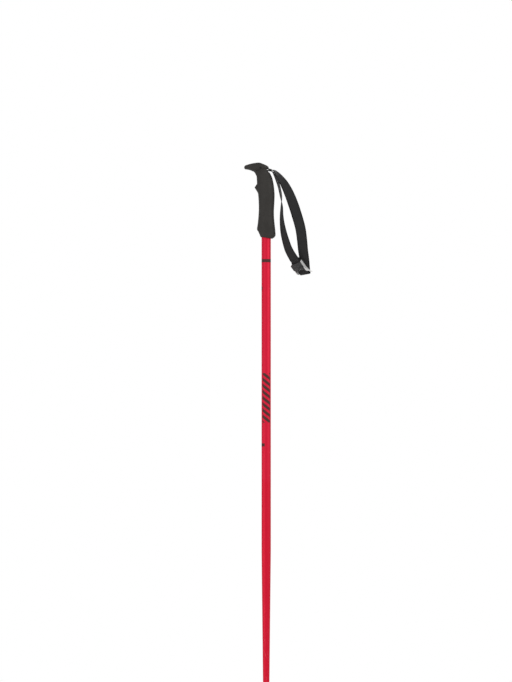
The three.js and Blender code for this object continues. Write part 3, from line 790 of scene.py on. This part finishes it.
def in_buckle(along, across, front):
    return buckle_place + buckle_along * along + buckle_across * across + buckle_front * front


BACK_LAYER = -TOUCH_GAP - WEBBING_THICKNESS / 2
FRONT_LAYER = BUCKLE_SHEET + TOUCH_GAP + WEBBING_THICKNESS / 2
FOLD_RADIUS = (FRONT_LAYER - BACK_LAYER) / 2
FOLD_ACROSS = math.pi * FOLD_RADIUS * math.sin(FOLD_ANGLE / 2)


def cross_at(tangent, twist):
    """The webbing's cross direction: level at twist 0, and turned about the path by twist."""
    level = (Vector((0, 1, 0)) - tangent * tangent.y).normalized()
    return level * math.cos(twist) + tangent.cross(level) * math.sin(twist)


def twist_of(tangent, cross):
    level = cross_at(tangent, 0)
    return math.atan2(cross.dot(tangent.cross(level)), cross.dot(level))


class WebbingRun:
    """Webbing through stations of (x, y, z, twist in degrees), on a centripetal Catmull-Rom curve."""

    def __init__(self, stations):
        self.knots = [Vector(station[:3]) for station in stations]
        last = len(stations) - 1
        twists = [(index / last, station[3]) for index, station in enumerate(stations)]
        self.twist = smooth_line(twists)

    def point(self, t):
        spans = len(self.knots) - 1
        index = min(int(t * spans), spans - 1)
        weight = t * spans - index
        p1, p2 = self.knots[index], self.knots[index + 1]
        p0 = self.knots[index - 1] if index > 0 else p1 * 2 - p2
        p3 = self.knots[index + 2] if index + 2 <= spans else p2 * 2 - p1
        before, span, after = (math.sqrt((b - a).length) for a, b in ((p0, p1), (p1, p2), (p2, p3)))
        slope1 = ((p1 - p0) / before - (p2 - p0) / (before + span) + (p2 - p1) / span) * span
        slope2 = ((p2 - p1) / span - (p3 - p1) / (span + after) + (p3 - p2) / after) * span
        square, cube = weight ** 2, weight ** 3
        bend = slope1 * (cube - 2 * square + weight) + slope2 * (cube - square)
        return p1 * (2 * cube - 3 * square + 1) + p2 * (3 * square - 2 * cube) + bend

    def place(self, t, across, up):
        step = 1e-4
        tangent = (self.point(min(t + step, 1)) - self.point(max(t - step, 0))).normalized()
        cross = cross_at(tangent, math.radians(self.twist(t)))
        return self.point(t) + cross * across + tangent.cross(cross) * up


def leg_start(layer):
    """The start of a leg at the mouth of the slot, above (+1) or below (-1) the other leg."""
    down = Vector((math.cos(STRAP_DIP), 0, -math.sin(STRAP_DIP)))
    up = Vector((math.sin(STRAP_DIP), 0, math.cos(STRAP_DIP)))
    point = STRAP_PIVOT + down * STRAP_START + up * layer * LAYER_OFFSET
    return (*point, 0)


def behind_buckle(distance, depth):
    along = FOLD_ALONG - distance * math.cos(FOLD_ANGLE)
    across = FOLD_ACROSS + distance * math.sin(FOLD_ANGLE)
    return in_buckle(along, across, depth)


def folded_point(distance, across, up):
    """A point of the folded stretch: distance past the fold's centre line, across the webbing and up."""
    half = FOLD_ANGLE / 2
    past = distance * math.cos(half) + across * math.sin(half)
    aside = -distance * math.sin(half) + across * math.cos(half)
    turn = min(max(past / FOLD_RADIUS, 0), math.pi)
    flat = past if past < 0 else min(0, math.pi * FOLD_RADIUS - past)
    reach = flat + (FOLD_RADIUS - up) * math.sin(turn)
    along = FOLD_ALONG + aside * math.sin(half) + reach * math.cos(half)
    sideways = FOLD_ACROSS + aside * math.cos(half) - reach * math.sin(half)
    lift = smoothstep(-along, *TAIL_CLIMB) * (WEBBING_THICKNESS + TOUCH_GAP) if turn > 0 else 0
    front = BACK_LAYER + FOLD_RADIUS - (FOLD_RADIUS - up) * math.cos(turn) + lift
    return in_buckle(along, sideways, front)


JOIN_DISTANCE = 5        # where the hanging run meets the folded stretch, before the fold
TAIL_END = 37
TAIL_CLIMB = (1, 8)      # back along the buckle, where the tail climbs over the sewn end
flight = behind_buckle(0, 0) - behind_buckle(1, 0)
fold_cross = behind_buckle(0, 0) - in_buckle(
    FOLD_ALONG - math.sin(FOLD_ANGLE),
    FOLD_ACROSS - math.cos(FOLD_ANGLE),
    0,
)
long_end_twist = math.degrees(twist_of(flight, fold_cross))

long_leg = WebbingRun([
    leg_start(1),
    (15.6, 0, 1184.3, 12),
    (20.9, 0, 1179.2, 24),
    (26.8, 0, 1171.2, 38),
    (34.7, -0.5, 1159.6, 52),
    (43.6, -1.5, 1141.8, 68),
    (52.3, -3, 1119.4, 84),
    (59.6, -4.5, 1096.6, 92),
    (66, -5.8, 1073, 98),
    (69.2, -6.6, 1050, 102),
    (70.9, -6.6, 1032, 107),
    (*behind_buckle(24, BACK_LAYER - 2.8), long_end_twist),
    (*behind_buckle(14, BACK_LAYER - 1), long_end_twist),
    (*behind_buckle(JOIN_DISTANCE, BACK_LAYER), long_end_twist),
])

BAR_BEND = -9.9          # where the webbing turns round the bar, along the buckle
SEWN_START = -24
SEWN_FLAT = 6            # of the hanging run that already lies flat on the buckle's line
SEWN_TAIL = 10           # how far the end comes back behind the leg
SEWN_CLIMB = (4, 10)     # past the bar, where the end closes up to the back of the leg
short_end_twist = math.degrees(twist_of(buckle_along, -buckle_across))

short_leg = WebbingRun([
    leg_start(-1),
    (13.2, 0, 1181.6, 6),
    (17.1, 0, 1175.1, 12),
    (21.6, 0, 1164, 14),
    (25.3, 0, 1152, 13),
    (28.6, -0.3, 1135, 10),
    (29.9, -0.8, 1115, -9),
    (29.7, -1.6, 1098, -17),
    (30.6, -2.6, 1084, -24),
    (33.4, -4, 1066, -34),
    (38, -5.4, 1048, -42),
    (43.4, -6.4, 1032, -48),
    (*in_buckle(SEWN_START, 0, FRONT_LAYER), short_end_twist),
    (*in_buckle(SEWN_START + SEWN_FLAT, 0, FRONT_LAYER), short_end_twist),
])


def sewn_point(distance, across, up):
    """A point of the sewn end: distance from the last station, over the bar and back under itself."""
    straight = BAR_BEND - SEWN_START - SEWN_FLAT
    turned = math.pi * FOLD_RADIUS
    if distance < straight:
        return in_buckle(BAR_BEND - straight + distance, -across, FRONT_LAYER - up)
    if distance < straight + turned:
        turn = (distance - straight) / FOLD_RADIUS
        reach = (FOLD_RADIUS - up) * math.sin(turn)
        front = FRONT_LAYER - FOLD_RADIUS + (FOLD_RADIUS - up) * math.cos(turn)
        return in_buckle(BAR_BEND + reach, -across, front)
    back = distance - straight - turned
    room = FRONT_LAYER - BACK_LAYER - WEBBING_THICKNESS - TOUCH_GAP
    return in_buckle(BAR_BEND - back, -across, BACK_LAYER + room * smoothstep(back, *SEWN_CLIMB) + up)


BIGHT_RADIUS = PIN_RADIUS + TOUCH_GAP + WEBBING_THICKNESS / 2
BIGHT_SAG = 0.35


def anchor_point(distance, across, up):
    """A point of the bight round the strap pin: distance from its middle, negative on the upper side."""
    quarter = BIGHT_RADIUS * math.pi / 2
    side = 1 if distance > 0 else -1
    past = abs(distance) - quarter
    if past < 0:
        turn = distance / BIGHT_RADIUS
        radius = BIGHT_RADIUS - up
        return Vector((PIN_X - radius * math.cos(turn), across, PIN_Z - radius * math.sin(turn)))
    start = Vector((PIN_X, 0, PIN_Z - side * BIGHT_RADIUS))
    x, _, z, _ = leg_start(-side)
    path = Vector((x, 0, z)) - start
    ease = min(past / path.length, 1)
    normal = Vector((path.z, 0, -path.x)).normalized() * -side
    sag = normal * -BIGHT_SAG * math.sin(math.pi * ease)
    return start + path * ease + Vector((0, across, 0)) + normal * up + sag


def webbing_section():
    """(across, up) points round the webbing, whose edges are rounded."""
    flat = WEBBING_WIDTH / 2 - WEBBING_THICKNESS / 2
    half = WEBBING_THICKNESS / 2
    steps = 14
    top = [(-flat + 2 * flat * step / steps, half) for step in range(steps + 1)]
    right = [(flat + half * math.cos(a), half * math.sin(a)) for a in (math.pi / 4, 0, -math.pi / 4)]
    bottom = [(-across, -up) for across, up in top]
    left = [(-across, -up) for across, up in right]
    return top + right + bottom + left


def bight_length(layer):
    """The length from the bight's middle to the start of a leg."""
    x, _, z, _ = leg_start(layer)
    return BIGHT_RADIUS * math.pi / 2 + math.hypot(x - PIN_X, z - PIN_Z - layer * BIGHT_RADIUS)


def webbing_rows():
    """Rows of the whole strap from the free tail to the sewn end, each a place(across, up)."""
    rows = []
    folded, hanging, bight, sewn = 60, 190, 70, 44
    for row in range(folded):
        distance = TAIL_END - (TAIL_END + JOIN_DISTANCE) * row / folded
        rows.append(lambda across, up, d=distance: folded_point(d, across, -up))
    for row in range(hanging):
        rows.append(lambda across, up, t=1 - row / hanging: long_leg.place(t, across, -up))
    upper, lower = bight_length(1), bight_length(-1)
    for row in range(bight):
        distance = -upper + (upper + lower) * row / bight
        rows.append(lambda across, up, d=distance: anchor_point(d, across, up))
    for row in range(hanging):
        rows.append(lambda across, up, t=row / hanging: short_leg.place(t, across, up))
    sewn_length = BAR_BEND - SEWN_START - SEWN_FLAT + math.pi * FOLD_RADIUS + SEWN_TAIL
    for row in range(sewn + 1):
        rows.append(lambda across, up, d=sewn_length * row / sewn: sewn_point(d, across, up))
    return rows


def webbing_points(rows, section):
    """The points of all rows. The last two at each end are thinner, which rounds the cut ends."""
    end_thickness = (0.55, 0.9)
    points = []
    for index, place in enumerate(rows):
        from_end = min(index, len(rows) - 1 - index)
        cut = end_thickness[from_end] if from_end < len(end_thickness) else 1
        points += [place(across, up * cut) for across, up in section]
    return points


def row_lengths(rows):
    """How far each row lies along the strap from its free end."""
    centres = [place(0, 0) for place in rows]
    lengths = [0]
    for before, centre in zip(centres, centres[1:]):
        lengths.append(lengths[-1] + (centre - before).length)
    return lengths


def map_weave(mesh, section, lengths):
    """The UV map that the weave follows: across the webbing and along it, in metres."""
    weave = mesh.uv_layers.new(name="weave")
    for loop in mesh.loops:
        row, step = divmod(loop.vertex_index, len(section))
        weave.data[loop.index].uv = (section[step][0] * MM, lengths[row] * MM)


def build_webbing():
    section = webbing_section()
    rows = webbing_rows()
    points = [tuple(point * MM) for point in webbing_points(rows, section)]
    mesh = bpy.data.meshes.new("strap_webbing")
    mesh.from_pydata(points, [], tube_faces(len(rows), len(section)))
    mesh.materials.append(WEBBING)
    map_weave(mesh, section, row_lengths(rows))
    face_outward(mesh)
    strap = add_object("strap_webbing", mesh)
    finish_shading(strap, 60)
    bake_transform(strap)
    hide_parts("strap_anchor_loop", "strap_long_leg", "strap_short_leg")


def stitch(start, end, out, points, faces):
    """Adds one stitch: a short round thread that arches out of the webbing between two holes."""
    rings, sides, radius, arch, sunk = 7, 6, 0.17, 0.16, 0.06
    along = (end - start).normalized()
    side = along.cross(out)
    first = len(points)
    for ring in range(rings):
        t = ring / (rings - 1)
        thick = radius * math.sqrt(max(math.sin(math.pi * (0.08 + 0.84 * t)), 0))
        centre = start.lerp(end, t) + out * (arch * math.sin(math.pi * t) - sunk)
        for step in range(sides):
            angle = 2 * math.pi * step / sides
            points.append(centre + side * thick * math.cos(angle) + out * thick * math.sin(angle))
    faces.extend(tube_faces(rings, sides, first))


def build_stitching():
    """Rows of stitches across the sewn end, on both of its faces."""
    points, faces = [], []
    face_front = FRONT_LAYER + WEBBING_THICKNESS / 2
    face_back = FRONT_LAYER - 1.5 * WEBBING_THICKNESS - TOUCH_GAP
    row_places = (-18.6, -17.5, -16.4)
    columns, first_across, pitch = 9, -8.1, 1.8
    stitch_along, stitch_across = 0.35, 1.55
    for front, out in ((face_front, buckle_front), (face_back, -buckle_front)):
        for along in row_places:
            for column in range(columns):
                across = first_across + pitch * column
                begin = in_buckle(along, across, front)
                finish = in_buckle(along + stitch_along, across + stitch_across, front)
                stitch(begin, finish, out, points, faces)
    stitching = make_piece("strap_stitching", points, faces, THREAD)
    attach(stitching, "strap")


# ---- Buckle ----
def buckle_side(along, front, across):
    return in_buckle(along, across, front)


def along_cam_pin(x, y, height):
    return in_buckle(CAM_PIN_ALONG + x, height, CAM_PIN_FRONT + y)


def cam_pin_bore(material):
    """A cutter for the cam pin's bore, longer than the buckle is wide."""
    outline = arc(CAM_PIN_MIDDLE, CAM_PIN_RADIUS + TOUCH_GAP, 0, 345, 23)
    return prism("pin_bore", outline, -20, 20, buckle_side, material)


def cheek(side):
    foot_height, slope_start, corner_cut = 3.6, 8, 2
    outline = [
        (BUCKLE_TOP, 0), (BUCKLE_BOTTOM, 0), (BUCKLE_BOTTOM, foot_height), (slope_start, CHEEK_HEIGHT),
        (BUCKLE_TOP + corner_cut, CHEEK_HEIGHT), (BUCKLE_TOP, CHEEK_HEIGHT - corner_cut),
    ]
    outer = side * BUCKLE_WIDTH / 2
    inner = side * (BUCKLE_WIDTH / 2 - BUCKLE_SHEET)
    low, high = min(inner, outer), max(inner, outer)
    return prism("cheek", round_corners(outline, 1.2), low, high, buckle_side, NICKEL)


def buckle_window():
    """A cutter for the window that the webbing comes back through, round the bar."""
    start, end, half = -10.3, -6.3, WEBBING_WIDTH / 2 + 0.4
    outline = round_corners([(start, -half), (end, -half), (end, half), (start, half)], 0.8)
    return prism("window", outline, -2, 3, in_buckle, NICKEL)


def build_buckle():
    half = BUCKLE_WIDTH / 2
    outline = [
        (BUCKLE_TOP, -half), (BUCKLE_BOTTOM, -half),
        (BUCKLE_BOTTOM, half - 1), (BUCKLE_BOTTOM + 1, half - 0.8), (16, half + 1.2), EAR_TIP,
        (15, half + 2.8), (11, half + 1.2), (5, half), (BUCKLE_TOP, half),
    ]
    base = round_corners(outline, 0.8)
    buckle = prism("buckle_channel", base, 0, BUCKLE_SHEET, in_buckle, NICKEL)
    combine(buckle, "UNION", cheek(-1), cheek(1))
    combine(buckle, "DIFFERENCE", buckle_window(), cam_pin_bore(NICKEL))
    soften(buckle, 0.22)
    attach(buckle, "strap")
    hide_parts("buckle_frame")


def build_cam_pin():
    half = BUCKLE_WIDTH / 2 + 0.5
    shoulder = half - 0.4
    end_radius = 0.7
    profile = [
        (0, -half), (end_radius, -half), (CAM_PIN_RADIUS, -shoulder),
        (CAM_PIN_RADIUS, shoulder), (end_radius, half), (0, half),
    ]
    pin = lathe("cam_pin_rivet", profile, TURNED_STEEL, 40, 0.3, place=along_cam_pin)
    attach(pin, "strap")
    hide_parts("cam_pin")


PLATE_BOTTOM = CHEEK_HEIGHT + TOUCH_GAP
PLATE_TOP = PLATE_BOTTOM + 0.9


def lever_arm():
    """The cam round the pin, with the arm that runs back from it between the cheeks."""
    arm_end, arm_middle, arm_radius = -12.2, 7.4, 1.2
    side = arc(CAM_PIN_MIDDLE, CAM_RADIUS, -126, 90, 26)
    side += arc((arm_end, arm_middle), arm_radius, 90, 270, 10)
    side.append((-6, 5.3))
    half = LEVER_WIDTH / 2
    return prism("lever_body", side, -half, half, buckle_side, LEVER_PLASTIC)


def lever_plate():
    end, half = -0.6, PLATE_WIDTH / 2
    plan = [(BUCKLE_TOP, -half), (end, -half), (end, half), (BUCKLE_TOP, half)]
    return prism("plate", round_corners(plan, 1.5), PLATE_BOTTOM, PLATE_TOP, in_buckle, LEVER_PLASTIC)


def lever_rib(along):
    foot, radius = 0.7, 0.5
    half = PLATE_WIDTH / 2 - 1.6
    rounded = arc((along, PLATE_TOP), radius, 180, 0, 8)
    outline = [(along - foot, PLATE_BOTTOM)] + rounded + [(along + foot, PLATE_BOTTOM)]
    return prism("rib", outline, -half, half, buckle_side, LEVER_PLASTIC)


def spring_pocket():
    """A cutter for the pocket that the spring lies in."""
    back, floor, half = -4, 3, 3
    outline = arc(CAM_PIN_MIDDLE, CAM_RADIUS + 0.4, -90, 180, 20)
    outline += [(back, CAM_PIN_FRONT), (back, floor), (CAM_PIN_ALONG, floor)]
    return prism("spring_pocket", outline, -half, half, buckle_side, LEVER_PLASTIC)


def build_lever():
    """A round cam on the pin, and a ribbed thumb plate that covers the edges of the cheeks."""
    lever = lever_arm()
    ribs = [lever_rib(along) for along in range(-12, 0, 2)]
    combine(lever, "UNION", lever_plate(), *ribs)
    combine(lever, "DIFFERENCE", cam_pin_bore(LEVER_PLASTIC), spring_pocket())
    soften(lever, 0.2)
    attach(lever, "cam")
    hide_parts("cam_lever")


def build_spring():
    """The torsion spring: whole turns round the pin, with a straight leg each way."""
    turns, pitch, radius, leg, wire = 4, 0.95, 2.05, 3.6, 0.3
    coil = 2 * math.pi * radius * turns
    steps = 160
    sides = 10
    centres = []
    for step in range(steps + 1):
        distance = step / steps * (coil + 2 * leg) - leg
        angle = min(max(distance / radius, 0), 2 * math.pi * turns)
        straight = distance - angle * radius
        across = pitch * (angle / (2 * math.pi) - turns / 2)
        along = CAM_PIN_ALONG - straight - radius * math.sin(angle)
        centres.append(in_buckle(along, across, CAM_PIN_FRONT - radius * math.cos(angle)))
    rings = []
    for step, centre in enumerate(centres):
        tangent = (centres[min(step + 1, steps)] - centres[max(step - 1, 0)]).normalized()
        side = tangent.cross(buckle_across).normalized()
        other = tangent.cross(side)
        angles = [2 * math.pi * turn / sides for turn in range(sides)]
        rings.append([centre + side * wire * math.cos(a) + other * wire * math.sin(a) for a in angles])
    spring = loft("spring_wire", rings, SPRING_STEEL)
    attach(spring, "strap")
    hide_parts("cam_spring")


build_grip()
build_strap_pin()
build_shaft()
build_ferrule()
build_point()
build_basket()
build_washer()
build_webbing()
build_stitching()
build_buckle()
build_cam_pin()
build_lever()
build_spring()
plug_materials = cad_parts["shaft_end_plug"].data.materials
plug_materials.clear()
plug_materials.append(FERRULE_PLASTIC)


# ---- Floor, light and camera ----
def build_floor():
    """A plain pale disc under the point, small enough to stay below the main camera's frame."""
    radius, thickness = 1250, 6
    profile = [(0, -thickness), (radius, -thickness), (radius, 0), (0, 0)]
    look = Look("pale_floor", {"Roughness": 0.7, "Specular IOR Level": 0.2})
    look.drive("Base Color", look.blend(look.noise(60, 4), (0.80, 0.80, 0.80), (0.84, 0.84, 0.84)))
    look.relief((look.noise(4, 3), 0.05))
    floor = lathe("floor", profile, look.material, 128, 2)


def soft_light(name, place, target, size, power):
    lamp = bpy.data.lights.new(name, "AREA")
    lamp.shape = "DISK"
    lamp.size = size
    lamp.energy = power
    holder = add_object(name, lamp)
    holder.location = place
    holder.rotation_euler = (Vector(target) - Vector(place)).to_track_quat("-Z", "Y").to_euler()
    holder.visible_camera = False


def build_world():
    """A white backdrop for the camera, with a dimmer sky that lights the pole."""
    sky_strength = 0.62
    world = bpy.data.worlds.new("studio")
    world.use_nodes = True
    bpy.context.scene.world = world
    nodes, links = world.node_tree.nodes, world.node_tree.links
    sky = nodes["Background"]
    backdrop = nodes.new("ShaderNodeBackground")
    for shader, strength in ((sky, sky_strength), (backdrop, 1.0)):
        shader.inputs["Color"].default_value = (1, 1, 1, 1)
        shader.inputs["Strength"].default_value = strength
    rays = nodes.new("ShaderNodeLightPath")
    choose = nodes.new("ShaderNodeMixShader")
    links.new(rays.outputs["Is Camera Ray"], choose.inputs[0])
    links.new(sky.outputs[0], choose.inputs[1])
    links.new(backdrop.outputs[0], choose.inputs[2])
    links.new(choose.outputs[0], nodes["World Output"].inputs["Surface"])


def build_lights():
    soft_light("key", (-1.7, -2.4, 2.2), (0, 0, 1.05), 1.3, 19)
    soft_light("fill", (2.3, -1.6, 1.6), (0, 0, 0.95), 1.5, 32)
    soft_light("low", (-1.7, -1.0, 0.35), (0, 0, 1.12), 0.9, 9)
    soft_light("rim", (0.8, 2.2, 1.9), (0, 0, 1.0), 1.2, 14)


def build_camera():
    """A long lens, level, that looks along +Y and frames the pole's upper part as the photograph does."""
    distance = 5.0
    view_height = 1.317
    view_centre = (-0.0197, 0.8558)
    camera = bpy.data.cameras.new("camera")
    camera.sensor_width = 36
    camera.lens = camera.sensor_width * distance / view_height
    holder = add_object("camera", camera)
    holder.location = (view_centre[0], -distance, view_centre[1])
    holder.rotation_euler = (math.radians(90), 0, 0)
    bpy.context.scene.camera = holder


build_floor()
build_world()
build_lights()
build_camera()
bpy.context.scene.view_settings.view_transform = "Standard"
